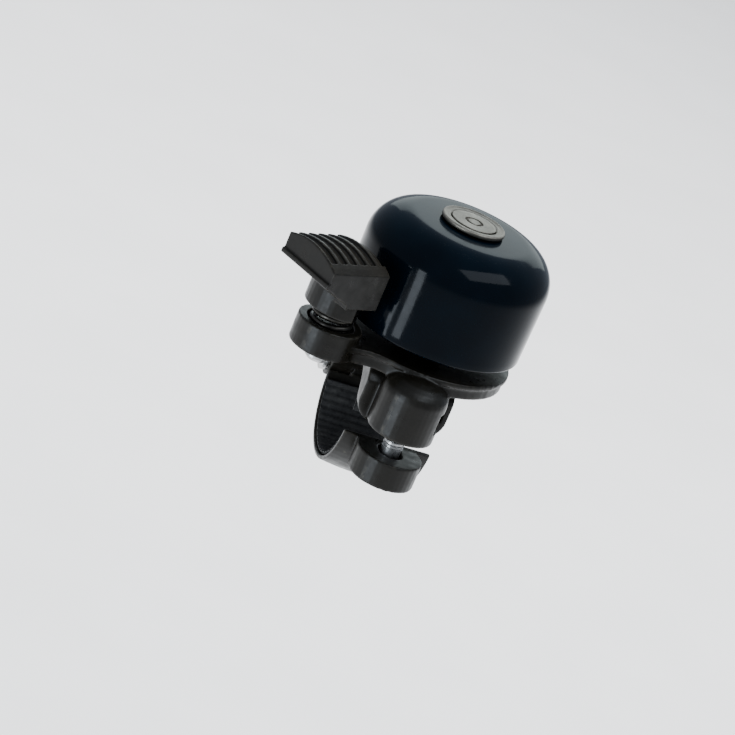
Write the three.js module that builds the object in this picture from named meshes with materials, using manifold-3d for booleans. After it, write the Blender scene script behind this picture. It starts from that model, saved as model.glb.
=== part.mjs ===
// Bicycle bell for a 22.2 mm handlebar.
// A steel dome is screwed to a plastic bracket. A thumb lever on a coil spring is pulled away from
// the dome, and springs back so that its steel hammer strikes the dome's wall. A hinged jaw and one
// screw clamp the bracket to the bar.
//
// Frame, in millimetres: the origin is the centre of the handlebar's bore, X runs along the bar,
// -Y is the clamp screw's side and +Z is the dome's axis.

import * as THREE from 'three';
import { mergeVertices } from 'three/addons/utils/BufferGeometryUtils.js';
import Module from 'manifold-3d';

const wasm = await Module();
wasm.setup();

// ---------------------------------------------------------------- driving dimensions

const GAP = 0.3; // space left between pieces that touch
const THROUGH = 1; // how far a cutter runs past the face that it cuts

// Handlebar clamp
const BAR_R = 11.1; // a 22.2 mm handlebar
const LINER_T = 0.7;
const LINER_R = BAR_R + LINER_T;
const SEAT_R = LINER_R + GAP; // bore of the saddle and the jaw
const STRAP_T = 1.5;
const STRAP_R = SEAT_R + STRAP_T;
const CLAMP_HALF = 8.7; // half the clamp's width along the bar
const SADDLE_FRONT_Z = 1.9; // lower edge of the saddle at the screw's side
const JAW_FRONT_Z = -1.6; // upper edge of the jaw at the screw's side
const SADDLE_CORNER_R = 4; // the saddle's lower front corners, seen from the front
const BARREL_EDGE = 0.7; // the jaw's sides are this much slimmer than its middle

// Clamp screw, M4, and its two bosses
const SCREW_Y = -16;
const BOSS_R = 6.45;
const UPPER_BOSS_Z0 = 2.9;
const LOWER_BOSS_Z0 = -6.8;
const SCREW_R = 1.9;
const SCREW_HOLE_R = SCREW_R + GAP + 0.1;
const SLOT_SHIFT = 0.6; // the jaw's hole is slotted by this much each way
const SCREW_HEAD_R = 3.4;
const SCREW_HEAD_H = 2.2;
const WASHER_R = 3.8;
const WASHER_T = 0.8;
const COUNTERBORE_R = 4.6;
const COUNTERBORE_Z = -3.4; // floor that the washer bears on
const SCREW_TOP_Z = 11;
const NUT_FLATS = 7;
const NUT_H = 3.2;
const NUT_Z0 = 6;

// Jaw hinge, behind the bar
const HINGE_Y = 15.6;
const HINGE_Z = 0;
const KNUCKLE_R = 3.2;
const PIN_R = 1.5;
const MIDDLE_KNUCKLE_HALF = 4;

// Base plate under the dome
const PLATE_Z0 = 12.3;
const LIP_Z0 = 14.6;
const PLATE_Z1 = 15.6;
const PLATE_R = 17;
const LIP_R = 17.5;
const WEB_BLEND_R = 8; // concave sides of the arm that carries the lever

// Dome
const DOME_X = 2.4; // the dome's axis from the clamp's middle
const DOME_Z0 = 18.7;
const DOME_R = 18;
const DOME_T = 1;
const DOME_WALL_TOP_R = 18.2;
const DOME_WALL_H = 13.7;
const DOME_CORNER_R = 7.3;
const DOME_CORNER_ANGLE = THREE.MathUtils.degToRad(88);
const DOME_HOLE_R = 4.5;

// Dome fixing: pillar, insert, bush, top-hat washer and countersunk screw
const PILLAR_R = 5;
const PILLAR_TOP_Z = 36.4;
const INSERT_R = 3.4;
const INSERT_Z0 = 28.4;
const INSERT_TOP_Z = 36.1;
const DOME_SCREW_R = 2.35;
const DOME_SCREW_Z0 = 24.8;
const DOME_SCREW_HEAD_R = 4.4;
const BUTTON_R = 1.25; // left standing in the middle of the screw's head
const BUTTON_GROOVE_R = 1.8;
const CROWN_R = 6.25;
const CROWN_Z0 = 40.1;
const CROWN_Z1 = 41;
const HUB_R = 4.2;
const HUB_Z0 = 38.2;
const BUSH_R = 6.6;
const BUSH_Z0 = PILLAR_TOP_Z + GAP;
const BUSH_FLOOR_Z = HUB_Z0 - GAP;
const BUSH_TOP_Z = 38.45;

// Striker: boss on the bracket's arm, spring, lever and hammer
const STRIKER_X = DOME_X - 21.2;
const STRIKER_Y = -10.6;
const STRIKER_ANGLE = THREE.MathUtils.degToRad(31); // from +X to the lever's inward direction
const STRIKER_BOSS_R = 6.3;
const STRIKER_BOSS_Z1 = 17.8;
const SPRING_WIRE_R = 0.6;
const SPRING_COIL_R = 3.6; // to the wire's centre
const SPRING_PITCH = 1.55;
const SPRING_Z0 = 15.3;
const SPRING_Z1 = 23.5;
const SOCKET_R = 4.6;
const SOCKET_FLOOR_Z = 14.3;
const SOCKET_ROOF_Z = 24.4;
const ANCHOR_R = 2.6;
const ANCHOR_TOP_Z = 17.6;
const ANCHOR_SCREW_R = 1.3;
const ANCHOR_HEAD_R = 2.4;
const LEVER_KNUCKLE_R = 6.4;
const LEVER_Z0 = 20.7;
const LEVER_NOTCH_Z = 24; // the lever's inner half starts here, clear of the plate when it tilts
const PAD_Z0 = 28;
const PAD_FLANGE_T = 1;
const PAD_OUT = -12.1; // along the inward direction, from the spring's axis
const PAD_IN = 2.4;
const PAD_HALF = 7.1;
const PAD_FRONT_T = 3.3;
const PAD_BACK_T = 4.1;
const PAD_CROWN = 1.7;
const GROOVE_COUNT = 6;
const GROOVE_PITCH = 2.4;
const GROOVE_W = 1.6;
const GROOVE_DEPTH = 0.6;
const HAMMER_Z = 26.3;
const HAMMER_HEAD_R = 2.1;
const HAMMER_TIP = 4.7;
const HAMMER_SHANK_R = 1.3;
const HAMMER_SHANK_START = -1.5;

// Facets round a full circle
const FINE = 60;
const MEDIUM = 36;
const SMALL = 24;

// ---------------------------------------------------------------- solids

function signedVolume(position, triangles) {
  const a = new THREE.Vector3();
  const b = new THREE.Vector3();
  const c = new THREE.Vector3();
  let six = 0;
  for (let i = 0; i < triangles.length; i += 3) {
    a.fromArray(position, 3 * triangles[i]);
    b.fromArray(position, 3 * triangles[i + 1]);
    c.fromArray(position, 3 * triangles[i + 2]);
    six += a.dot(b.cross(c));
  }
  return six / 6;
}

// A closed geometry as a solid that can be joined and cut.
function solidOf(geometry) {
  const bare = geometry.clone();
  bare.deleteAttribute('normal');
  bare.deleteAttribute('uv');
  const welded = mergeVertices(bare, 1e-5);
  const index = welded.index.array;
  const triangles = [];
  for (let i = 0; i < index.length; i += 3) {
    const [a, b, c] = [index[i], index[i + 1], index[i + 2]];
    if (a !== b && b !== c && c !== a) triangles.push(a, b, c);
  }
  const position = Float32Array.from(welded.attributes.position.array);
  if (signedVolume(position, triangles) < 0) triangles.reverse();
  const mesh = new wasm.Mesh({ numProp: 3, vertProperties: position, triVerts: Uint32Array.from(triangles) });
  return new wasm.Manifold(mesh);
}

function geometryOf(solid) {
  const mesh = solid.getMesh();
  const geometry = new THREE.BufferGeometry();
  geometry.setAttribute('position', new THREE.BufferAttribute(mesh.vertProperties, 3));
  geometry.setIndex(new THREE.BufferAttribute(mesh.triVerts, 1));
  geometry.computeVertexNormals();
  return geometry;
}

const join = (...solids) => solids.reduce((whole, piece) => whole.add(piece));
const cut = (body, ...cutters) => cutters.reduce((left, cutter) => left.subtract(cutter), body);

function box(x0, x1, y0, y1, z0, z1) {
  const geometry = new THREE.BoxGeometry(x1 - x0, y1 - y0, z1 - z0);
  geometry.translate((x0 + x1) / 2, (y0 + y1) / 2, (z0 + z1) / 2);
  return solidOf(geometry);
}

// Upright round bar. A regular prism is a round bar with few sides.
function post(r, z0, z1, x = 0, y = 0, sides = MEDIUM) {
  const geometry = new THREE.CylinderGeometry(r, r, z1 - z0, sides);
  geometry.rotateX(Math.PI / 2);
  geometry.translate(x, y, (z0 + z1) / 2);
  return solidOf(geometry);
}

// Round bar along X.
function rod(r, x0, x1, y = 0, z = 0, sides = MEDIUM) {
  const geometry = new THREE.CylinderGeometry(r, r, x1 - x0, sides);
  geometry.rotateZ(Math.PI / 2);
  geometry.translate((x0 + x1) / 2, y, z);
  return solidOf(geometry);
}

// Body of revolution about an upright axis, from a profile of [radius, z] points.
function turned(profile, x = 0, y = 0, sides = MEDIUM) {
  const geometry = new THREE.LatheGeometry(profile.map(([r, z]) => new THREE.Vector2(r, z)), sides);
  geometry.rotateX(Math.PI / 2);
  geometry.translate(x, y, 0);
  return solidOf(geometry);
}

// A ring's profile ends where it starts.
const ring = (profile, x, y, sides) => turned([...profile, profile[0]], x, y, sides);

function slab(shape, z0, z1, curveSegments = 24) {
  const geometry = new THREE.ExtrudeGeometry(shape, { depth: z1 - z0, bevelEnabled: false, curveSegments });
  geometry.translate(0, 0, z0);
  return solidOf(geometry);
}

// A shape drawn in Y and Z, extruded along X.
function bar(shape, x0, x1, curveSegments = 24) {
  const geometry = new THREE.ExtrudeGeometry(shape, { depth: x1 - x0, bevelEnabled: false, curveSegments });
  const turn = new THREE.Matrix4().set(0, 0, 1, x0, 1, 0, 0, 0, 0, 1, 0, 0, 0, 0, 0, 1);
  geometry.applyMatrix4(turn);
  return solidOf(geometry);
}

function polygon(points) {
  return new THREE.Shape(points.map(([a, b]) => new THREE.Vector2(a, b)));
}

// ---------------------------------------------------------------- outlines

// Two discs joined by a web whose sides are concave arcs.
function joinedDiscs(big, small, blend) {
  const heading = Math.atan2(small.y - big.y, small.x - big.x);
  const reach = Math.hypot(small.x - big.x, small.y - big.y);
  const toBig = big.r + blend;
  const toSmall = small.r + blend;
  const spread = Math.acos((toBig ** 2 + reach ** 2 - toSmall ** 2) / (2 * toBig * reach));
  const blendAt = (angle) => ({ x: big.x + toBig * Math.cos(angle), y: big.y + toBig * Math.sin(angle) });
  const left = heading + spread;
  const right = heading - spread;
  const leftCentre = blendAt(left);
  const rightCentre = blendAt(right);
  const towardSmall = (centre) => Math.atan2(small.y - centre.y, small.x - centre.x);
  const leftEnd = towardSmall(leftCentre);
  const rightEnd = towardSmall(rightCentre);
  const shape = new THREE.Shape();
  shape.absarc(big.x, big.y, big.r, left, right + 2 * Math.PI, false);
  shape.absarc(rightCentre.x, rightCentre.y, blend, right + Math.PI, rightEnd, true);
  shape.absarc(small.x, small.y, small.r, rightEnd + Math.PI, leftEnd + Math.PI, false);
  shape.absarc(leftCentre.x, leftCentre.y, blend, leftEnd, left + Math.PI, true);
  return shape;
}

// Part of a ring about the bar, in Y and Z, from one angle to another.
function ringSector(inner, outer, from, to) {
  const shape = new THREE.Shape();
  shape.absarc(0, 0, outer, from, to, false);
  shape.absarc(0, 0, inner, to, from, true);
  shape.closePath();
  return shape;
}

// ---------------------------------------------------------------- bracket

function basePlate() {
  const plateBody = { x: DOME_X, y: 0, r: PLATE_R };
  const plateLip = { x: DOME_X, y: 0, r: LIP_R };
  const step = LIP_R - PLATE_R;
  const armBody = { x: STRIKER_X, y: STRIKER_Y, r: STRIKER_BOSS_R - step };
  const armLip = { x: STRIKER_X, y: STRIKER_Y, r: STRIKER_BOSS_R };
  return join(
    slab(joinedDiscs(plateBody, armBody, WEB_BLEND_R + step), PLATE_Z0, PLATE_Z1 - 0.2),
    slab(joinedDiscs(plateLip, armLip, WEB_BLEND_R), LIP_Z0, PLATE_Z1),
    post(STRIKER_BOSS_R, PLATE_Z0, STRIKER_BOSS_Z1, STRIKER_X, STRIKER_Y),
    post(PILLAR_R, PLATE_Z0 + THROUGH, PILLAR_TOP_Z, DOME_X, 0),
  );
}

// Arched block between the plate and the bar.
function saddle() {
  const frontY = -STRAP_R;
  const section = polygon([
    [frontY, SADDLE_FRONT_Z],
    [0, SADDLE_FRONT_Z],
    [0, HINGE_Z],
    [HINGE_Y, HINGE_Z],
    [HINGE_Y, HINGE_Z + KNUCKLE_R],
    [STRAP_R - 0.6, PLATE_Z0 - 2.5],
    [STRAP_R - 2.4, PLATE_Z0 + THROUGH],
    [frontY + 2.4, PLATE_Z0 + THROUGH],
    [frontY, PLATE_Z0 - 2.5],
  ]);
  return cut(bar(section, -CLAMP_HALF, CLAMP_HALF), cornerCut(-1), cornerCut(1));
}

// What is taken off one of the saddle's lower front corners to round it. The round runs along Y.
function cornerCut(side) {
  const x = side * (CLAMP_HALF - SADDLE_CORNER_R);
  const far = side * (CLAMP_HALF + THROUGH);
  const z = SADDLE_FRONT_Z + SADDLE_CORNER_R;
  const round = new THREE.CylinderGeometry(SADDLE_CORNER_R, SADDLE_CORNER_R, 2 * STRAP_R, MEDIUM);
  round.translate(x, -STRAP_R, z);
  const corner = box(Math.min(x, far), Math.max(x, far), -STRAP_R - THROUGH, -6, SADDLE_FRONT_Z - THROUGH, z);
  return cut(corner, solidOf(round));
}

// Boss for the clamp screw, with a rounded shoulder that runs up into the plate's edge.
function upperBoss() {
  const shoulderZ = PLATE_Z0 - 1.2;
  const rise = PLATE_Z1 - 0.5 - shoulderZ;
  const profile = [[0, UPPER_BOSS_Z0], [BOSS_R, UPPER_BOSS_Z0], [BOSS_R, shoulderZ]];
  for (let step = 1; step <= 6; step += 1) {
    const angle = (step / 6) * (Math.PI / 2);
    profile.push([BOSS_R * Math.cos(angle), shoulderZ + rise * Math.sin(angle)]);
  }
  profile[profile.length - 1][0] = 0;
  return turned(profile, 0, SCREW_Y);
}

function nutPocket() {
  const halfFlats = NUT_FLATS / 2 + GAP;
  return join(
    post(halfFlats / Math.cos(Math.PI / 6), NUT_Z0 - GAP, NUT_Z0 + NUT_H + GAP, 0, SCREW_Y, 6),
    box(0, BOSS_R + THROUGH, SCREW_Y - halfFlats, SCREW_Y + halfFlats, NUT_Z0 - GAP, NUT_Z0 + NUT_H + GAP),
  );
}

function bracket() {
  const outerKnuckles = rod(KNUCKLE_R, -CLAMP_HALF, CLAMP_HALF, HINGE_Y, HINGE_Z);
  const knuckleHalf = MIDDLE_KNUCKLE_HALF + GAP;
  const striker = [STRIKER_X, STRIKER_Y];
  return cut(
    join(basePlate(), saddle(), upperBoss(), outerKnuckles),
    rod(SEAT_R, -4 * CLAMP_HALF, 4 * CLAMP_HALF, 0, 0, FINE),
    rod(KNUCKLE_R + GAP, -knuckleHalf, knuckleHalf, HINGE_Y, HINGE_Z),
    box(-knuckleHalf, knuckleHalf, STRAP_R - 1, HINGE_Y + KNUCKLE_R + THROUGH, -KNUCKLE_R, HINGE_Z),
    rod(PIN_R + GAP, -CLAMP_HALF - THROUGH, CLAMP_HALF + THROUGH, HINGE_Y, HINGE_Z, SMALL),
    post(SCREW_HOLE_R, UPPER_BOSS_Z0 - THROUGH, SCREW_TOP_Z + THROUGH, 0, SCREW_Y, SMALL),
    nutPocket(),
    post(INSERT_R + GAP, INSERT_Z0 - GAP, PILLAR_TOP_Z + THROUGH, DOME_X, 0, SMALL),
    post(DOME_SCREW_R + GAP, DOME_SCREW_Z0 - THROUGH, PILLAR_TOP_Z, DOME_X, 0, SMALL),
    post(SOCKET_R, SOCKET_FLOOR_Z, STRIKER_BOSS_Z1 + THROUGH, ...striker),
    post(ANCHOR_SCREW_R + GAP, PLATE_Z0 - THROUGH, SOCKET_FLOOR_Z + THROUGH, ...striker, SMALL),
  );
}

// ---------------------------------------------------------------- dome and its fixing

// Dome profile from the rim up to the hole, drawn inward by the shell's thickness.
function domeCurve(inward) {
  const centreR = DOME_WALL_TOP_R - DOME_CORNER_R;
  const cornerR = DOME_CORNER_R - inward;
  const endR = centreR + DOME_CORNER_R * Math.cos(DOME_CORNER_ANGLE);
  const crownR = endR / Math.cos(DOME_CORNER_ANGLE);
  const crownCentreZ = DOME_WALL_H + DOME_CORNER_R * Math.sin(DOME_CORNER_ANGLE)
    - crownR * Math.sin(DOME_CORNER_ANGLE);
  const holeAngle = Math.acos(DOME_HOLE_R / (crownR - inward));
  const points = [[DOME_R - inward, 0]];
  for (let step = 0; step <= 9; step += 1) {
    const angle = (step / 9) * DOME_CORNER_ANGLE;
    points.push([centreR + cornerR * Math.cos(angle), DOME_WALL_H + cornerR * Math.sin(angle)]);
  }
  for (let step = 1; step <= 2; step += 1) {
    const angle = THREE.MathUtils.lerp(DOME_CORNER_ANGLE, holeAngle, step / 2);
    points.push([(crownR - inward) * Math.cos(angle), crownCentreZ + (crownR - inward) * Math.sin(angle)]);
  }
  return points.map(([r, z]) => [r, DOME_Z0 + z]);
}

const dome = () => ring([...domeCurve(0), ...domeCurve(DOME_T).reverse()], 0, 0, FINE);

// Top-hat washer: its flange shows on the dome, and its hub centres the dome's hole.
function crownWasher() {
  const seatTopR = DOME_SCREW_HEAD_R + GAP;
  const boreR = DOME_SCREW_R + GAP + 0.15;
  return ring([
    [HUB_R, HUB_Z0],
    [HUB_R, CROWN_Z0],
    [CROWN_R, CROWN_Z0],
    [CROWN_R, CROWN_Z1 - 0.15],
    [CROWN_R - 0.15, CROWN_Z1],
    [seatTopR, CROWN_Z1],
    [boreR, CROWN_Z1 - (seatTopR - boreR)],
    [boreR, HUB_Z0],
  ]);
}

// Countersunk screw whose head has a ring groove round a centre button.
function domeScrew() {
  const headTop = CROWN_Z1 - 0.05;
  const coneDepth = DOME_SCREW_HEAD_R - DOME_SCREW_R;
  const body = turned([
    [0, DOME_SCREW_Z0],
    [DOME_SCREW_R - 0.4, DOME_SCREW_Z0],
    [DOME_SCREW_R, DOME_SCREW_Z0 + 0.4],
    [DOME_SCREW_R, headTop - 0.2 - coneDepth],
    [DOME_SCREW_HEAD_R, headTop - 0.2],
    [DOME_SCREW_HEAD_R, headTop],
    [0, headTop],
  ]);
  const grooveFloor = headTop - 0.4;
  return cut(body, ring([
    [BUTTON_GROOVE_R, grooveFloor],
    [BUTTON_GROOVE_R, headTop + THROUGH],
    [BUTTON_R, headTop + THROUGH],
    [BUTTON_R, grooveFloor],
  ]));
}

const postInsert = () => ring([
  [INSERT_R, INSERT_Z0],
  [INSERT_R, INSERT_TOP_Z],
  [DOME_SCREW_R + GAP, INSERT_TOP_Z],
  [DOME_SCREW_R + GAP, INSERT_Z0],
], 0, 0, SMALL);

const domeBush = () => ring([
  [BUSH_R, BUSH_Z0],
  [BUSH_R, BUSH_TOP_Z],
  [HUB_R + GAP, BUSH_TOP_Z],
  [HUB_R + GAP, BUSH_FLOOR_Z],
  [DOME_SCREW_R + GAP, BUSH_FLOOR_Z],
  [DOME_SCREW_R + GAP, BUSH_Z0],
]);

// ---------------------------------------------------------------- striker, about its spring's axis

// Height of the pad's crowned top above its underside, at a distance q along the grooves.
function padHeight(q) {
  const along = (q + PAD_HALF) / (2 * PAD_HALF);
  return THREE.MathUtils.lerp(PAD_FRONT_T, PAD_BACK_T, along) + PAD_CROWN * 4 * along * (1 - along);
}

// A strip under the pad's top, between two q, and from a depth below the top to a height above it.
function padStrip(q0, q1, depth, above) {
  const points = [];
  const steps = 12;
  for (let step = 0; step <= steps; step += 1) {
    const q = THREE.MathUtils.lerp(q0, q1, step / steps);
    points.push([q, PAD_Z0 + padHeight(Math.min(q, PAD_HALF)) - depth]);
  }
  return polygon([...points, [q1, above], [q0, above]]);
}

function pad() {
  const top = [];
  const steps = 12;
  for (let step = 0; step <= steps; step += 1) {
    const q = THREE.MathUtils.lerp(PAD_HALF, -PAD_HALF, step / steps);
    top.push([q, PAD_Z0 + padHeight(q)]);
  }
  const body = bar(polygon([[-PAD_HALF, PAD_Z0], [PAD_HALF, PAD_Z0], ...top]), PAD_OUT + 0.5, PAD_IN);
  const flange = box(PAD_OUT, PAD_IN, -PAD_HALF, PAD_HALF, PAD_Z0, PAD_Z0 + PAD_FLANGE_T);
  const groove = padStrip(2.2 - PAD_HALF, PAD_HALF + THROUGH, GROOVE_DEPTH, PAD_Z0 + 8);
  const grooves = [];
  for (let n = 0; n < GROOVE_COUNT; n += 1) {
    const middle = PAD_OUT + 1.8 + n * GROOVE_PITCH;
    grooves.push(bar(groove, middle - GROOVE_W / 2, middle + GROOVE_W / 2));
  }
  return cut(join(body, flange), ...grooves);
}

// Wall under the pad's front edge, with a gusset out to the pad's outer corner.
function frontWall() {
  const outline = polygon([
    [PAD_IN, LEVER_NOTCH_Z],
    [PAD_IN, PAD_Z0 + THROUGH],
    [PAD_OUT + 0.5, PAD_Z0 + THROUGH],
    [PAD_OUT + 0.5, PAD_Z0],
    [1 - LEVER_KNUCKLE_R, PAD_Z0 - 3.2],
    [1 - LEVER_KNUCKLE_R, LEVER_NOTCH_Z],
  ]);
  const geometry = new THREE.ExtrudeGeometry(outline, { depth: PAD_HALF, bevelEnabled: false });
  geometry.rotateX(Math.PI / 2);
  return solidOf(geometry);
}

function strikerLever() {
  const knuckle = post(LEVER_KNUCKLE_R, LEVER_Z0, PAD_Z0 + 0.5);
  const far = 3 * LEVER_KNUCKLE_R;
  const peg = post(ANCHOR_R, LEVER_Z0 + GAP, SOCKET_ROOF_Z + 0.2);
  const shell = cut(
    join(pad(), frontWall(), knuckle),
    box(PAD_IN, far, -far, far, LEVER_Z0 - THROUGH, PAD_Z0 + far),
    box(-1.3, far, -far, far, LEVER_Z0 - THROUGH, LEVER_NOTCH_Z),
    post(SOCKET_R, LEVER_Z0 - THROUGH, SOCKET_ROOF_Z),
    rod(HAMMER_SHANK_R + GAP, HAMMER_SHANK_START - GAP, PAD_IN + THROUGH, 0, HAMMER_Z, SMALL),
  );
  return join(shell, peg);
}

// Stepped steel pin whose domed head meets the bell.
function strikerHammer() {
  const neck = PAD_IN + GAP;
  const profile = [
    [0, HAMMER_SHANK_START],
    [HAMMER_SHANK_R, HAMMER_SHANK_START],
    [HAMMER_SHANK_R, neck],
    [HAMMER_HEAD_R, neck],
    [HAMMER_HEAD_R, HAMMER_TIP - 0.7],
    [HAMMER_HEAD_R - 0.5, HAMMER_TIP - 0.2],
    [HAMMER_HEAD_R - 1.2, HAMMER_TIP],
    [0, HAMMER_TIP],
  ];
  const geometry = new THREE.LatheGeometry(profile.map(([r, p]) => new THREE.Vector2(r, p)), SMALL);
  geometry.rotateZ(-Math.PI / 2);
  geometry.translate(0, 0, HAMMER_Z);
  return solidOf(geometry);
}

class Helix extends THREE.Curve {
  getPoint(t, target = new THREE.Vector3()) {
    const angle = 2 * Math.PI * t * ((SPRING_Z1 - SPRING_Z0) / SPRING_PITCH);
    const z = THREE.MathUtils.lerp(SPRING_Z0, SPRING_Z1, t);
    return target.set(SPRING_COIL_R * Math.cos(angle), SPRING_COIL_R * Math.sin(angle), z);
  }
}

function strikerSpring() {
  const wire = new THREE.Shape().absarc(0, 0, SPRING_WIRE_R, 0, 2 * Math.PI, false);
  const steps = Math.round(20 * ((SPRING_Z1 - SPRING_Z0) / SPRING_PITCH));
  const path = new Helix();
  return solidOf(new THREE.ExtrudeGeometry(wire, { steps, extrudePath: path, curveSegments: 4 }));
}

// Stud that the spring's lower coils grip, drawn down by a screw from below.
const springAnchor = () => cut(
  post(ANCHOR_R, SOCKET_FLOOR_Z + GAP, ANCHOR_TOP_Z, 0, 0, SMALL),
  post(ANCHOR_SCREW_R + GAP, SOCKET_FLOOR_Z - THROUGH, ANCHOR_TOP_Z - 0.8, 0, 0, SMALL),
);

const ANCHOR_WASHER_Z1 = PLATE_Z0 - GAP;
const ANCHOR_WASHER_Z0 = ANCHOR_WASHER_Z1 - 0.5;

const anchorWasher = () => ring([
  [ANCHOR_HEAD_R + 0.8, ANCHOR_WASHER_Z0],
  [ANCHOR_HEAD_R + 0.8, ANCHOR_WASHER_Z1],
  [ANCHOR_SCREW_R + GAP, ANCHOR_WASHER_Z1],
  [ANCHOR_SCREW_R + GAP, ANCHOR_WASHER_Z0],
], 0, 0, SMALL);

// Two crossed slots sunk into a screw head's underside.
function crossRecess(x, y, z, reach, width, depth) {
  return join(
    box(x - reach, x + reach, y - width / 2, y + width / 2, z - THROUGH, z + depth),
    box(x - width / 2, x + width / 2, y - reach, y + reach, z - THROUGH, z + depth),
  );
}

function anchorScrew() {
  const headTop = ANCHOR_WASHER_Z0 - GAP;
  const headBottom = headTop - 1.4;
  const body = turned([
    [0, headBottom],
    [ANCHOR_HEAD_R - 0.6, headBottom],
    [ANCHOR_HEAD_R, headBottom + 0.6],
    [ANCHOR_HEAD_R, headTop],
    [ANCHOR_SCREW_R, headTop],
    [ANCHOR_SCREW_R, ANCHOR_TOP_Z - 1.4],
    [0, ANCHOR_TOP_Z - 1.4],
  ], 0, 0, SMALL);
  return cut(body, crossRecess(0, 0, headBottom, 1.4, 0.6, 0.8));
}

// ---------------------------------------------------------------- clamp

const sideAngle = (z, radius) => Math.asin(z / radius);

function lowerBoss() {
  return post(BOSS_R, LOWER_BOSS_Z0, JAW_FRONT_Z, 0, SCREW_Y);
}

// Solid of revolution about the bar that gives the jaw its slimmer sides.
function jawBarrel() {
  const profile = [[0, -CLAMP_HALF]];
  const steps = 8;
  for (let step = 0; step <= steps; step += 1) {
    const along = THREE.MathUtils.lerp(-1, 1, step / steps);
    profile.push([STRAP_R - BARREL_EDGE * along ** 2, along * CLAMP_HALF]);
  }
  profile.push([0, CLAMP_HALF]);
  const geometry = new THREE.LatheGeometry(profile.map(([r, x]) => new THREE.Vector2(r, x)), FINE);
  geometry.rotateZ(-Math.PI / 2);
  return solidOf(geometry);
}

function clampJaw() {
  const front = Math.PI - sideAngle(JAW_FRONT_Z, STRAP_R);
  const back = 2 * Math.PI + sideAngle(HINGE_Z - 0.4, STRAP_R);
  const sector = bar(ringSector(SEAT_R - 1, STRAP_R + THROUGH, front, back), -CLAMP_HALF, CLAMP_HALF, 30);
  const strap = sector.intersect(jawBarrel());
  const middleKnuckle = rod(KNUCKLE_R, -MIDDLE_KNUCKLE_HALF, MIDDLE_KNUCKLE_HALF, HINGE_Y, HINGE_Z);
  const side = MIDDLE_KNUCKLE_HALF;
  const clear = KNUCKLE_R + GAP;
  const outside = [[-CLAMP_HALF - THROUGH, -side], [side, CLAMP_HALF + THROUGH]];
  return cut(
    join(strap, middleKnuckle, lowerBoss()),
    rod(SEAT_R, -4 * CLAMP_HALF, 4 * CLAMP_HALF, 0, 0, FINE),
    ...outside.map(([x0, x1]) => rod(clear, x0, x1, HINGE_Y, HINGE_Z)),
    rod(PIN_R + GAP, -CLAMP_HALF, CLAMP_HALF, HINGE_Y, HINGE_Z, SMALL),
    post(SCREW_HOLE_R, LOWER_BOSS_Z0, JAW_FRONT_Z + THROUGH, 0, SCREW_Y - SLOT_SHIFT, SMALL),
    post(SCREW_HOLE_R, LOWER_BOSS_Z0, JAW_FRONT_Z + THROUGH, 0, SCREW_Y + SLOT_SHIFT, SMALL),
    post(COUNTERBORE_R, LOWER_BOSS_Z0 - THROUGH, COUNTERBORE_Z, 0, SCREW_Y),
  );
}

function hingePin() {
  const end = CLAMP_HALF + GAP;
  return join(
    rod(PIN_R, -end, end + 0.2, HINGE_Y, HINGE_Z, SMALL),
    rod(PIN_R + 1, -end - 1, -end, HINGE_Y, HINGE_Z, SMALL),
    rod(PIN_R - 0.4, end, end + 1.1, HINGE_Y, HINGE_Z, SMALL),
    rod(PIN_R, end + 1, end + 1.7, HINGE_Y, HINGE_Z, SMALL),
  );
}

// Open ring that snaps into the pin's groove.
function pinClip() {
  const x0 = CLAMP_HALF + GAP + 0.35;
  const opening = box(x0 - THROUGH, x0 + 2, HINGE_Y - 0.8, HINGE_Y + 0.8, HINGE_Z - 2 * KNUCKLE_R, HINGE_Z);
  return cut(
    rod(PIN_R + 1.3, x0, x0 + 0.5, HINGE_Y, HINGE_Z, SMALL),
    rod(PIN_R - 0.4 + GAP - 0.05, x0 - THROUGH, x0 + 2, HINGE_Y, HINGE_Z, SMALL),
    opening,
  );
}

const WASHER_Z1 = COUNTERBORE_Z - GAP;
const WASHER_Z0 = WASHER_Z1 - WASHER_T;

const clampWasher = () => ring([
  [WASHER_R, WASHER_Z0],
  [WASHER_R, WASHER_Z1],
  [SCREW_R + GAP, WASHER_Z1],
  [SCREW_R + GAP, WASHER_Z0],
], 0, SCREW_Y, SMALL);

function clampScrew() {
  const headTop = WASHER_Z0 - GAP;
  const headBottom = headTop - SCREW_HEAD_H;
  const body = turned([
    [0, headBottom],
    [SCREW_HEAD_R - 0.9, headBottom],
    [SCREW_HEAD_R - 0.2, headBottom + 0.6],
    [SCREW_HEAD_R, headBottom + 1.2],
    [SCREW_HEAD_R, headTop],
    [SCREW_R, headTop],
    [SCREW_R, SCREW_TOP_Z - 0.4],
    [SCREW_R - 0.4, SCREW_TOP_Z],
    [0, SCREW_TOP_Z],
  ], 0, SCREW_Y, SMALL);
  return cut(body, crossRecess(0, SCREW_Y, headBottom, 2, 0.9, 1.3));
}

const clampNut = () => cut(
  post(NUT_FLATS / 2 / Math.cos(Math.PI / 6), NUT_Z0, NUT_Z0 + NUT_H, 0, SCREW_Y, 6),
  post(SCREW_R + GAP, NUT_Z0 - THROUGH, NUT_Z0 + NUT_H + THROUGH, 0, SCREW_Y, SMALL),
);

// Rubber shells between the clamp and the bar.
function liner(lowZ, from, to) {
  const half = CLAMP_HALF - 0.3;
  return bar(ringSector(BAR_R, LINER_R, from + lowZ, to - lowZ), -half, half, 30);
}

const LINER_END = THREE.MathUtils.degToRad(12);
const upperLiner = () => liner(LINER_END, 0, Math.PI);
const lowerLiner = () => liner(LINER_END, Math.PI, 2 * Math.PI);

// ---------------------------------------------------------------- materials

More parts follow.
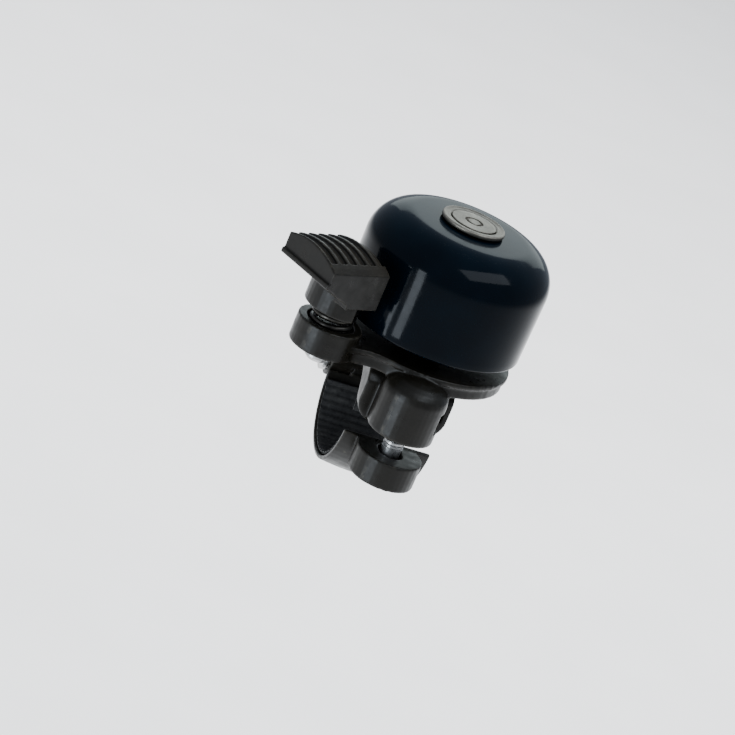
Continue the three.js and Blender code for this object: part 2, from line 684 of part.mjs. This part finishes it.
const finish = (name, color, roughness, metalness) => (
  new THREE.MeshStandardMaterial({ name, color, roughness, metalness })
);
const enamel = finish('dome_enamel', 0x020a14, 0.12, 0.2);
const plastic = finish('black_plastic', 0x16150f, 0.42, 0);
const satinSteel = finish('satin_steel', 0x6e6a60, 0.35, 1);
const zincSteel = finish('zinc_steel', 0x9a9a98, 0.35, 1);
const springSteel = finish('spring_steel', 0x1b1a18, 0.35, 1);
const brass = finish('brass', 0xb08d4a, 0.35, 1);
const nylon = finish('nylon', 0xd8d4c8, 0.5, 0);
const rubber = finish('rubber', 0x121212, 0.85, 0);

// ---------------------------------------------------------------- assembly

function named(name, solid, material) {
  const mesh = new THREE.Mesh(geometryOf(solid), material);
  mesh.name = name;
  return mesh;
}

function groupOf(x, y, turn, ...meshes) {
  const group = new THREE.Group();
  group.position.set(x, y, 0);
  group.rotation.z = turn;
  group.add(...meshes);
  return group;
}

const bell = new THREE.Group();
bell.add(
  named('bracket', bracket(), plastic),
  named('clamp_jaw', clampJaw(), plastic),
  named('upper_liner', upperLiner(), rubber),
  named('lower_liner', lowerLiner(), rubber),
  named('hinge_pin', hingePin(), zincSteel),
  named('hinge_pin_clip', pinClip(), springSteel),
  named('clamp_screw', clampScrew(), zincSteel),
  named('clamp_washer', clampWasher(), zincSteel),
  named('clamp_nut', clampNut(), zincSteel),
  groupOf(
    DOME_X, 0, 0,
    named('dome', dome(), enamel),
    named('crown_washer', crownWasher(), satinSteel),
    named('dome_screw', domeScrew(), satinSteel),
    named('dome_bush', domeBush(), nylon),
    named('pillar_insert', postInsert(), brass),
  ),
  groupOf(
    STRIKER_X, STRIKER_Y, STRIKER_ANGLE,
    named('striker_lever', strikerLever(), plastic),
    named('striker_hammer', strikerHammer(), zincSteel),
    named('striker_spring', strikerSpring(), springSteel),
    named('spring_anchor', springAnchor(), zincSteel),
    named('anchor_washer', anchorWasher(), zincSteel),
    named('anchor_screw', anchorScrew(), zincSteel),
  ),
);

export default bell;
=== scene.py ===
"""Looks of the bicycle bell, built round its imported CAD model.

Sizes named in capitals are millimetres in the row frame, unless their name says otherwise.
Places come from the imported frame.
"""

import math

import bpy
from mathutils import Matrix, Vector


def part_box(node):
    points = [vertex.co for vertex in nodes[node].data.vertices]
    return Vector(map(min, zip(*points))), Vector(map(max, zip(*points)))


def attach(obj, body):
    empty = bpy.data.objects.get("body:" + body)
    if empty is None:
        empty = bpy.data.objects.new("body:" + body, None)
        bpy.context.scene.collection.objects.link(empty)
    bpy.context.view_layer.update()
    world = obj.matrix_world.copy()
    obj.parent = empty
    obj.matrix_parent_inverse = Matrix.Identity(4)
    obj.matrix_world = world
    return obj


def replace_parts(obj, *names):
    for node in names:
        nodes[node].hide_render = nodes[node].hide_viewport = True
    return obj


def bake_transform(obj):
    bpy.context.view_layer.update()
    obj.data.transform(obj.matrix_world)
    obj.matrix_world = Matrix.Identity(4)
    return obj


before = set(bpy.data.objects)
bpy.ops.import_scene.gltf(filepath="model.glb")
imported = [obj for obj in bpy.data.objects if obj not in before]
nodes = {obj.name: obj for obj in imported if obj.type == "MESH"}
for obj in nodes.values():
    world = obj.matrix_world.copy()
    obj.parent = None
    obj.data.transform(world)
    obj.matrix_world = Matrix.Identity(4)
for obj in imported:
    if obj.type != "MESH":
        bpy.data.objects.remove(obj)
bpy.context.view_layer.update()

MM = 0.001

# Dome shell, as in the CAD
DOME_T = 1.0
DOME_RIM_R = 18.0
DOME_WALL_TOP_R = 18.2
DOME_WALL_H = 13.7
DOME_CORNER_R = 7.3
DOME_CORNER_ANGLE = math.radians(88)
DOME_HOLE_R = 4.5

# Crown washer and its screw
WASHER_R = 6.25
WASHER_EDGE = 0.28
WASHER_FLANGE_T = 0.9
WASHER_HUB_R = 4.2
WASHER_SEAT_R = 4.7
WASHER_BORE_R = 2.8
DISH_R = 5.1
DISH_DEPTH = 0.16
DISH_MARGIN = 0.1
SEAT_LEDGE_W = 0.12
SEAT_LEDGE_H = 0.1
SEAT_SLOPE = 0.8

# Striker spring
WIRE_R = 0.6
COIL_R = 3.6
COIL_PITCH = 1.55
SPRING_Z0 = 15.3
SPRING_Z1 = 23.5
SPRING_TAPER_STEPS = 4

# Threads
CLAMP_THREAD_R = 2.08
CLAMP_THREAD_PITCH = 0.7
CLAMP_THREAD_Z0 = -1.2
CLAMP_THREAD_Z1 = 10.4
THREAD_DEPTH = 0.34

# Liners
BAR_R = 11.1
LINER_T = 0.7
LINER_HALF = 8.4
LINER_END_ANGLE = math.radians(12)
RIB_PITCH = 1.4
RIB_DEPTH = 0.3
RIB_ROUNDING = 0.6
LINER_BEVEL_X = 0.15
LINER_BEVEL_R = 0.1

# Camera, at the photograph's angle
CAMERA_AZIMUTH = math.radians(-18)
CAMERA_ELEVATION = math.radians(19.15)
CAMERA_ROLL = math.radians(23.5)
CAMERA_DISTANCE = 650
CAMERA_TARGET = (2.4, 0, 30.05)
PICTURE_MIDDLE = (-15.86, -17.78)  # right of and above the target, in the picture's own directions
CAMERA_LENS_MM = 170.3
SENSOR_MM = 36

# Floor, well below the part, which stands on nothing in the photograph
FLOOR_Z = -350
FLOOR_HALF = 6000

# Lights, with places and sizes in metres
BELL_MIDDLE = (0, 0, 0.025)
WORLD_COLOUR = (0.80, 0.88, 1.0, 1)
WORLD_STRENGTH = 0.55
WINDOW_BLUE = (0.80, 0.90, 1)
FRONT_BLUE = (0.85, 0.92, 1)
REAR_GREEN = (0.88, 1, 0.98)


# ---------------------------------------------------------------- mesh helpers


def centre_of(node):
    """Middle of a CAD node's box, in millimetres."""
    low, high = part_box(node)
    return (low + high) / 2 / MM


def piece_from(name, points, faces, material, body):
    """A smooth mesh piece from points in millimetres, riding on a CAD body."""
    mesh = bpy.data.meshes.new(name)
    mesh.from_pydata([Vector(p) * MM for p in points], [], faces)
    mesh.validate()
    mesh.shade_smooth()
    piece = bpy.data.objects.new(name, mesh)
    bpy.context.scene.collection.objects.link(piece)
    mesh.materials.append(material)
    if body:
        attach(piece, body)
    return piece


def band_faces(rows, columns, close_rows, close_columns):
    """Quads over a grid of points, whose rows and columns may each close on themselves."""
    faces = []
    for row in range(rows if close_rows else rows - 1):
        for column in range(columns if close_columns else columns - 1):
            next_row = (row + 1) % rows
            next_column = (column + 1) % columns
            faces.append((
                row * columns + column,
                row * columns + next_column,
                next_row * columns + next_column,
                next_row * columns + column,
            ))
    return faces


def turned_ring(profile, x, y, segments):
    """Body of revolution about an upright axis, from a closed profile of (radius, z)."""
    points = []
    for step in range(segments):
        angle = 2 * math.pi * step / segments
        points += [(x + r * math.cos(angle), y + r * math.sin(angle), z) for r, z in profile]
    return points, band_faces(segments, len(profile), True, True)


def arc(centre_r, centre_z, radius, start, end, steps):
    """Points of an arc in a profile, both ends included. Angles are in degrees from +r."""
    angles = [math.radians(start + (end - start) * step / steps) for step in range(steps + 1)]
    return [(centre_r + radius * math.cos(a), centre_z + radius * math.sin(a)) for a in angles]


def soften(node, voxel, rounds):
    """Gives a CAD node moulded edges: it is resampled finely, and then relaxed."""
    piece = nodes[node]
    weld = piece.modifiers.new("weld", "WELD")
    weld.merge_threshold = 0.001 * MM
    resample = piece.modifiers.new("resample", "REMESH")
    resample.mode = "VOXEL"
    resample.voxel_size = voxel * MM
    resample.use_smooth_shade = True
    relax = piece.modifiers.new("relax", "SMOOTH")
    relax.factor = 0.5
    relax.iterations = rounds


def set_material(node, material):
    """Gives a CAD node this material alone."""
    slots = nodes[node].data.materials
    slots.clear()
    slots.append(material)


# ---------------------------------------------------------------- materials


class Finish:
    """A procedural material on one Principled shader, with short calls for its nodes."""

    def __init__(self, name, colour, roughness, metallic=0.0):
        self.material = bpy.data.materials.new(name)
        self.material.use_nodes = True
        self.tree = self.material.node_tree
        self.shader = self.tree.nodes["Principled BSDF"]
        self.shader.inputs["Base Color"].default_value = (*colour, 1)
        self.shader.inputs["Roughness"].default_value = roughness
        self.shader.inputs["Metallic"].default_value = metallic
        self.place = self.tree.nodes.new("ShaderNodeTexCoord").outputs["Object"]
        self.normal = None

    def noise(self, feature, detail):
        """Noise whose features are about this many millimetres wide."""
        texture = self.tree.nodes.new("ShaderNodeTexNoise")
        texture.inputs["Scale"].default_value = 1 / (feature * MM)
        texture.inputs["Detail"].default_value = detail
        self.tree.links.new(self.place, texture.inputs["Vector"])
        return texture.outputs["Fac"]

    def turning_marks(self, x, y, feature):
        """Noise that changes only with the distance from an upright axis, as a lathe leaves it."""
        flat = self.tree.nodes.new("ShaderNodeVectorMath")
        flat.operation = "MULTIPLY_ADD"
        flat.inputs[1].default_value = (1, 1, 0)
        flat.inputs[2].default_value = (-x * MM, -y * MM, 0)
        length = self.tree.nodes.new("ShaderNodeVectorMath")
        length.operation = "LENGTH"
        texture = self.tree.nodes.new("ShaderNodeTexNoise")
        texture.noise_dimensions = "1D"
        texture.inputs["Scale"].default_value = 1 / (feature * MM)
        texture.inputs["Detail"].default_value = 2
        self.tree.links.new(self.place, flat.inputs[0])
        self.tree.links.new(flat.outputs["Vector"], length.inputs[0])
        self.tree.links.new(length.outputs["Value"], texture.inputs["W"])
        return texture.outputs["Fac"]

    def spread(self, value, low, high, start=0.3, end=0.7):
        """The value's start to end, spread over low to high."""
        node = self.tree.nodes.new("ShaderNodeMapRange")
        node.inputs["From Min"].default_value = start
        node.inputs["From Max"].default_value = end
        node.inputs["To Min"].default_value = low
        node.inputs["To Max"].default_value = high
        self.tree.links.new(value, node.inputs["Value"])
        return node.outputs["Result"]

    def multiply(self, first, second):
        node = self.tree.nodes.new("ShaderNodeMath")
        node.operation = "MULTIPLY"
        self.tree.links.new(first, node.inputs[0])
        self.tree.links.new(second, node.inputs[1])
        return node.outputs["Value"]

    def blend(self, share, low, high):
        """Colour from low to high by share, where either may be a colour or a socket."""
        node = self.tree.nodes.new("ShaderNodeMix")
        node.data_type = "RGBA"
        self.tree.links.new(share, node.inputs["Factor"])
        for socket, colour in ((node.inputs[6], low), (node.inputs[7], high)):
            if isinstance(colour, tuple):
                socket.default_value = (*colour, 1)
            else:
                self.tree.links.new(colour, socket)
        return node.outputs[2]

    def edges(self):
        """Share that rises on outward edges, where a surface wears and where ridges get a painted
        highlight.
        """
        geometry = self.tree.nodes.new("ShaderNodeNewGeometry")
        return self.spread(geometry.outputs["Pointiness"], 0, 1, 0.505, 0.56)

    def colour(self, socket):
        self.tree.links.new(socket, self.shader.inputs["Base Color"])

    def roughness(self, socket):
        self.tree.links.new(socket, self.shader.inputs["Roughness"])

    def relief(self, height, depth):
        """Adds bump this many millimetres deep, on top of any bump added before."""
        bump = self.tree.nodes.new("ShaderNodeBump")
        bump.inputs["Distance"].default_value = depth * MM
        bump.inputs["Strength"].default_value = 1
        self.tree.links.new(height, bump.inputs["Height"])
        if self.normal is not None:
            self.tree.links.new(self.normal, bump.inputs["Normal"])
        self.normal = bump.outputs["Normal"]
        self.tree.links.new(self.normal, self.shader.inputs["Normal"])

    def coat(self, weight, roughness):
        self.shader.inputs["Coat Weight"].default_value = weight
        self.shader.inputs["Coat Roughness"].default_value = roughness


def dome_enamel():
    """Near-black navy gloss enamel, with faint orange peel, dust specks and handling marks."""
    finish = Finish("dome_enamel", (0.001, 0.005, 0.011), 0.12)
    tone = finish.spread(finish.noise(9, 2), 0, 1)
    base = finish.blend(tone, (0.0002, 0.0016, 0.0036), (0.0004, 0.0030, 0.0062))
    specks = finish.spread(finish.noise(0.35, 1), 0, 0.4, 0.76, 0.82)
    finish.colour(finish.blend(specks, base, (0.02, 0.025, 0.03)))
    finish.roughness(finish.spread(finish.noise(2.5, 5), 0.07, 0.17))
    finish.relief(finish.noise(1.3, 2), 0.006)
    finish.relief(finish.noise(0.25, 2), 0.0012)
    finish.shader.inputs["Specular IOR Level"].default_value = 0.06
    finish.coat(0.04, 0.05)
    return finish.material


def black_plastic():
    """Moulded black nylon: satin, finely grained, a little grey on its edges from wear and from a painted
    highlight on the ridges, and dusty in patches.
    """
    finish = Finish("black_plastic", (0.009, 0.008, 0.006), 0.45)
    tone = finish.spread(finish.noise(6, 4), 0, 1)
    base = finish.blend(tone, (0.0038, 0.0031, 0.0018), (0.0078, 0.0066, 0.0042))
    # Lighter edges: partly wear, partly a painted highlight on the ridges
    scuffs_and_ridge_highlight = finish.multiply(finish.edges(), finish.spread(finish.noise(1.1, 5), 0, 0.7, 0.42, 0.68))
    finish.colour(finish.blend(scuffs_and_ridge_highlight, base, (0.052, 0.046, 0.034)))
    finish.roughness(finish.spread(finish.noise(1.8, 6), 0.26, 0.46))
    finish.relief(finish.noise(4, 2), 0.03)
    finish.relief(finish.noise(0.22, 3), 0.006)
    finish.shader.inputs["Specular IOR Level"].default_value = 0.26
    return finish.material


def turned_steel(name, x, y):
    """Satin steel with fine turning marks about its axis."""
    finish = Finish(name, (0.30, 0.28, 0.24), 0.36, 1.0)
    marks = finish.turning_marks(x, y, 0.12)
    stains = finish.spread(finish.noise(1.6, 5), 0, 1)
    finish.colour(finish.blend(stains, (0.24, 0.22, 0.185), (0.36, 0.335, 0.285)))
    finish.roughness(finish.spread(marks, 0.32, 0.50))
    finish.relief(marks, 0.012)
    finish.relief(finish.noise(0.3, 3), 0.002)
    finish.shader.inputs["Anisotropic"].default_value = 0.4
    return finish.material


def metal(name, dull, bright, roughness, grain):
    """Plated or bare metal with blotches and a fine grain."""
    finish = Finish(name, bright, roughness, 1.0)
    blotches = finish.spread(finish.noise(1.2, 4), 0, 1)
    finish.colour(finish.blend(blotches, dull, bright))
    finish.roughness(finish.spread(finish.noise(0.8, 5), roughness - 0.07, roughness + 0.12))
    finish.relief(finish.noise(grain, 3), 0.004)
    return finish.material


def natural_nylon():
    """Milky nylon that lets a little light through."""
    finish = Finish("natural_nylon", (0.66, 0.62, 0.52), 0.45)
    tone = finish.spread(finish.noise(2, 3), 0, 1)
    finish.colour(finish.blend(tone, (0.60, 0.56, 0.46), (0.70, 0.67, 0.58)))
    finish.roughness(finish.spread(finish.noise(0.7, 4), 0.36, 0.55))
    finish.relief(finish.noise(0.3, 3), 0.006)
    finish.shader.inputs["Subsurface Weight"].default_value = 0.2
    finish.shader.inputs["Subsurface Scale"].default_value = 0.8 * MM
    return finish.material


def liner_rubber():
    """Matt black rubber with a dusty bloom."""
    finish = Finish("liner_rubber", (0.012, 0.012, 0.012), 0.85)
    bloom = finish.spread(finish.noise(1.5, 6), 0, 1, 0.4, 0.75)
    finish.colour(finish.blend(bloom, (0.008, 0.008, 0.008), (0.030, 0.029, 0.027)))
    finish.roughness(finish.spread(finish.noise(0.6, 4), 0.72, 0.95))
    finish.relief(finish.noise(0.18, 4), 0.02)
    return finish.material


def pale_floor():
    """Plain pale floor with a faint grain."""
    finish = Finish("pale_floor", (0.86, 0.86, 0.86), 0.9)
    tone = finish.spread(finish.noise(60, 2), 0, 1)
    finish.colour(finish.blend(tone, (0.85, 0.85, 0.85), (0.88, 0.88, 0.88)))
    finish.shader.inputs["Specular IOR Level"].default_value = 0.1
    return finish.material


# ---------------------------------------------------------------- pieces


def dome_curve(inset):
    """Dome profile from the rim's wall up to the hole, drawn inward by inset, above the rim."""
    centre_r = DOME_WALL_TOP_R - DOME_CORNER_R
    corner_r = DOME_CORNER_R - inset
    crown_end_r = centre_r + DOME_CORNER_R * math.cos(DOME_CORNER_ANGLE)
    crown_r = crown_end_r / math.cos(DOME_CORNER_ANGLE)
    crown_centre_z = (DOME_WALL_H + DOME_CORNER_R * math.sin(DOME_CORNER_ANGLE)
                      - crown_r * math.sin(DOME_CORNER_ANGLE))
    hole_angle = math.acos((DOME_HOLE_R + DOME_T / 2) / (crown_r - inset))
    wall = []
    wall_steps = 12
    for step in range(1, wall_steps):
        share = step / wall_steps
        r = DOME_RIM_R + (DOME_WALL_TOP_R - DOME_RIM_R) * share - inset
        wall.append((r, DOME_T / 2 + (DOME_WALL_H - DOME_T / 2) * share))
    corner = arc(centre_r, DOME_WALL_H, corner_r, 0, math.degrees(DOME_CORNER_ANGLE), 28)
    crown = arc(0, crown_centre_z, crown_r - inset,
                math.degrees(DOME_CORNER_ANGLE), math.degrees(hole_angle), 8)
    return wall + corner + crown[1:]


def dome_shell(material):
    """Spun steel cup with a rounded rim and a rounded edge round its hole."""
    low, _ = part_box("dome")
    middle = centre_of("dome")
    outer = dome_curve(0)
    inner = dome_curve(DOME_T)
    rim_r = DOME_RIM_R - DOME_T / 2
    rim = arc(rim_r, DOME_T / 2, DOME_T / 2, -180, 0, 10)
    hole_z = (outer[-1][1] + inner[-1][1]) / 2
    hole = arc(outer[-1][0], hole_z, DOME_T / 2, 90, 270, 10)
    profile = rim + outer + hole[1:-1] + inner[::-1]
    profile = [(r, low.z / MM + z) for r, z in profile]
    points, faces = turned_ring(profile, middle.x, middle.y, 224)
    piece = piece_from("dome_shell", points, faces, material, "bracket_body")
    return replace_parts(piece, "dome")


def crown_washer(material):
    """Top-hat washer with rounded edges and a shallow dished ring in its face."""
    low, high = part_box("crown_washer")
    middle = centre_of("crown_washer")
    top = high.z / MM
    under = top - WASHER_FLANGE_T
    bottom = low.z / MM
    edge_centre_r = WASHER_R - WASHER_EDGE
    profile = [(WASHER_BORE_R, bottom), (WASHER_HUB_R, bottom), (WASHER_HUB_R, under)]
    profile += arc(edge_centre_r, under + WASHER_EDGE, WASHER_EDGE, -90, 0, 6)
    profile += arc(edge_centre_r, top - WASHER_EDGE, WASHER_EDGE, 0, 90, 6)
    dish_start_r = edge_centre_r - DISH_MARGIN
    dish_steps = 8
    for step in range(dish_steps + 1):
        share = step / dish_steps
        r = dish_start_r - (dish_start_r - DISH_R) * share
        profile.append((r, top - DISH_DEPTH * math.sin(math.pi * share / 2)))
    profile += [
        (WASHER_SEAT_R + SEAT_LEDGE_W, top - DISH_DEPTH),
        (WASHER_SEAT_R, top - DISH_DEPTH - SEAT_LEDGE_H),
        (WASHER_BORE_R, top - DISH_DEPTH - (WASHER_SEAT_R - WASHER_BORE_R) * SEAT_SLOPE),
    ]
    points, faces = turned_ring(profile, middle.x, middle.y, 128)
    piece = piece_from("crown_washer_turned", points, faces, material, "bracket_body")
    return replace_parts(piece, "crown_washer")


def striker_spring(material):
    """Round wire coiled into a compression spring, between the bracket and the lever."""
    middle = centre_of("spring_anchor")
    turns = (SPRING_Z1 - SPRING_Z0) / COIL_PITCH
    around = 14
    steps = int(turns * 40)
    rise = COIL_PITCH / (2 * math.pi * COIL_R)
    points = []
    for step in range(steps + 1):
        angle = 2 * math.pi * turns * step / steps
        z = SPRING_Z0 + (SPRING_Z1 - SPRING_Z0) * step / steps
        from_end = min(step, steps - step) + 1
        taper = math.sin(math.pi / 2 * min(1, from_end / SPRING_TAPER_STEPS))
        out = Vector((math.cos(angle), math.sin(angle), 0))
        along = Vector((-math.sin(angle), math.cos(angle), rise)).normalized()
        side = out.cross(along)
        centre = Vector((middle.x, middle.y, z)) + out * COIL_R
        for turn in range(around):
            a = 2 * math.pi * turn / around
            points.append(centre + (out * math.cos(a) + side * math.sin(a)) * WIRE_R * taper)
    faces = band_faces(steps + 1, around, False, True)
    faces.append(tuple(range(around))[::-1])
    faces.append(tuple(range(steps * around, (steps + 1) * around)))
    piece = piece_from("striker_coil", points, faces, material, None)
    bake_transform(piece)
    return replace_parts(piece, "striker_spring")


def threaded_sleeve(name, x, y, z0, z1, radius, pitch, material, body):
    """Screw thread cut round an upright shank."""
    around = 40
    per_turn = 10
    rows = int((z1 - z0) / pitch * per_turn)
    points = []
    for row in range(rows + 1):
        z = z0 + (z1 - z0) * row / rows
        for column in range(around):
            angle = 2 * math.pi * column / around
            phase = ((z - z0) / pitch - column / around) % 1
            ridge = 1 - min(1, 1.15 * abs(2 * phase - 1))
            fade = min(1, (z - z0) / pitch, (z1 - z) / pitch)
            r = radius - THREAD_DEPTH * (1 - ridge * fade)
            points.append((x + r * math.cos(angle), y + r * math.sin(angle), z))
    faces = band_faces(rows + 1, around, False, True)
    faces.append(tuple(range(around))[::-1])
    faces.append(tuple(range(rows * around, (rows + 1) * around)))
    return piece_from(name, points, faces, material, body)


def ribbed_liner(name, node, start, end, material, body):
    """Rubber shell whose bore has ribs along the bar, so that it grips."""
    around = 200
    inner = []
    outer = []
    for step in range(around + 1):
        angle = start + (end - start) * step / around
        rib = 0.5 + 0.5 * math.cos(2 * math.pi * BAR_R * angle / RIB_PITCH)
        inner.append((angle, BAR_R + RIB_DEPTH * (1 - rib ** RIB_ROUNDING)))
        outer.append((angle, BAR_R + LINER_T))
    loop = outer + inner[::-1]
    ends = (-LINER_HALF, -LINER_HALF + LINER_BEVEL_X, LINER_HALF - LINER_BEVEL_X, LINER_HALF)
    points = []
    for x, shrink in zip(ends, (LINER_BEVEL_R, 0, 0, LINER_BEVEL_R)):
        for index, (angle, r) in enumerate(loop):
            shift = -shrink if index <= around else shrink
            points.append((x, (r + shift) * math.cos(angle), (r + shift) * math.sin(angle)))
    count = len(loop)
    faces = band_faces(len(ends), count, False, True)
    for row in (0, len(ends) - 1):
        base = row * count
        for step in range(around):
            faces.append((base + step, base + step + 1, base + count - 2 - step, base + count - 1 - step))
    piece = piece_from(name, points, faces, material, body)
    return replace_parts(piece, node)


def floor(material):
    """Wide plain floor under the part."""
    steps = 8
    points = []
    for row in range(steps + 1):
        for column in range(steps + 1):
            x = FLOOR_HALF * (2 * row / steps - 1)
            y = FLOOR_HALF * (2 * column / steps - 1)
            points.append((x, y, FLOOR_Z))
    mesh = bpy.data.meshes.new("floor")
    mesh.from_pydata([Vector(p) * MM for p in points], [], band_faces(steps + 1, steps + 1, False, False))
    mesh.materials.append(material)
    piece = bpy.data.objects.new("floor", mesh)
    bpy.context.scene.collection.objects.link(piece)


# ---------------------------------------------------------------- light and camera


def softbox(name, place, aim, width, height, power, colour=(1, 1, 1)):
    """Area light at a place, facing a point, in metres."""
    data = bpy.data.lights.new(name, "AREA")
    data.shape = "RECTANGLE"
    data.size = width
    data.size_y = height
    data.energy = power
    data.color = colour
    light = bpy.data.objects.new(name, data)
    bpy.context.scene.collection.objects.link(light)
    light.location = place
    light.rotation_mode = "QUATERNION"
    light.rotation_quaternion = (Vector(aim) - Vector(place)).to_track_quat("-Z", "Y")
    light.visible_camera = False
    return light


def sky():
    """Even, faintly blue light from all round."""
    world = bpy.data.worlds.new("studio")
    world.use_nodes = True
    backdrop = world.node_tree.nodes["Background"]
    backdrop.inputs["Color"].default_value = WORLD_COLOUR
    backdrop.inputs["Strength"].default_value = WORLD_STRENGTH
    bpy.context.scene.world = world


def lights():
    """A key light, and panels placed for the reflections of windows in the dome."""
    key = softbox("key", (0.35, 0.9, 1.3), (0, 0.5, 0), 1.2, 1.2, 75)
    # Its reflection would be a bright patch on the dome that the photograph doesn't have
    key.visible_glossy = False
    softbox("left_window_near", (-0.43, -0.37, -0.06), BELL_MIDDLE, 0.10, 0.30, 1.3, WINDOW_BLUE)
    softbox("left_window_far", (-0.52, -0.24, -0.13), BELL_MIDDLE, 0.05, 0.28, 0.6, WINDOW_BLUE)
    softbox("front_window", (0.30, -0.38, 0.66), BELL_MIDDLE, 0.75, 0.34, 3.4, FRONT_BLUE)
    softbox("rear_panel", (0.30, 0.92, 0.34), BELL_MIDDLE, 0.90, 0.40, 1.6, REAR_GREEN)


def camera():
    """Camera on the photograph's viewing line, rolled so that the bell leans as it does there."""
    azimuth, elevation, roll = CAMERA_AZIMUTH, CAMERA_ELEVATION, CAMERA_ROLL
    back = Vector((
        math.sin(azimuth) * math.cos(elevation),
        -math.cos(azimuth) * math.cos(elevation),
        math.sin(elevation),
    ))
    level = Vector((math.cos(azimuth), math.sin(azimuth), 0))
    rise = back.cross(level)
    right = level * math.cos(roll) + rise * math.sin(roll)
    up = rise * math.cos(roll) - level * math.sin(roll)
    target = Vector(CAMERA_TARGET)
    place = target + back * CAMERA_DISTANCE
    middle = target + right * PICTURE_MIDDLE[0] + up * PICTURE_MIDDLE[1]
    away = (place - middle).normalized()
    right = up.cross(away).normalized()
    up = away.cross(right)
    data = bpy.data.cameras.new("camera")
    data.sensor_width = SENSOR_MM
    data.lens = CAMERA_LENS_MM
    data.clip_start = 0.01
    data.clip_end = 50
    view = bpy.data.objects.new("camera", data)
    bpy.context.scene.collection.objects.link(view)
    turn = Matrix((right, up, away)).transposed().to_4x4()
    view.matrix_world = Matrix.Translation(place * MM) @ turn
    bpy.context.scene.camera = view


# ---------------------------------------------------------------- assembly

enamel = dome_enamel()
plastic = black_plastic()
dome_axis = centre_of("dome")
steel = turned_steel("satin_steel", dome_axis.x, dome_axis.y)
zinc = metal("zinc_steel", (0.42, 0.42, 0.41), (0.62, 0.62, 0.61), 0.30, 0.15)
spring_steel = metal("dark_spring_steel", (0.030, 0.028, 0.025), (0.075, 0.070, 0.062), 0.34, 0.2)
brass = metal("turned_brass", (0.52, 0.36, 0.14), (0.70, 0.51, 0.22), 0.30, 0.12)
nylon = natural_nylon()
rubber = liner_rubber()

# CAD node: material, resampling size and rounds of relaxing
CARRIED = {
    "bracket": (plastic, 0.24, 5),
    "clamp_jaw": (plastic, 0.20, 5),
    "striker_lever": (plastic, 0.13, 9),
    "striker_hammer": (zinc, 0.09, 4),
    "hinge_pin": (zinc, 0.10, 4),
    "hinge_pin_clip": (spring_steel, 0.07, 2),
    "clamp_screw": (zinc, 0.10, 3),
    "clamp_washer": (zinc, 0.09, 3),
    "clamp_nut": (zinc, 0.10, 3),
    "dome_screw": (steel, 0.08, 3),
    "dome_bush": (nylon, 0.12, 3),
    "pillar_insert": (brass, 0.12, 3),
    "spring_anchor": (zinc, 0.10, 3),
    "anchor_washer": (zinc, 0.08, 2),
    "anchor_screw": (zinc, 0.08, 3),
}
for carried, (material, voxel, rounds) in CARRIED.items():
    set_material(carried, material)
    soften(carried, voxel, rounds)

dome_shell(enamel)
crown_washer(steel)
striker_spring(spring_steel)
clamp_axis = centre_of("clamp_screw")
threaded_sleeve("clamp_screw_thread", clamp_axis.x, clamp_axis.y, CLAMP_THREAD_Z0, CLAMP_THREAD_Z1,
                CLAMP_THREAD_R, CLAMP_THREAD_PITCH, zinc, "screw_body")
ribbed_liner("upper_liner_ribbed", "upper_liner",
             LINER_END_ANGLE, math.pi - LINER_END_ANGLE, rubber, "bracket_body")
ribbed_liner("lower_liner_ribbed", "lower_liner",
             math.pi + LINER_END_ANGLE, 2 * math.pi - LINER_END_ANGLE, rubber, "jaw_body")
floor(pale_floor())
sky()
lights()
camera()
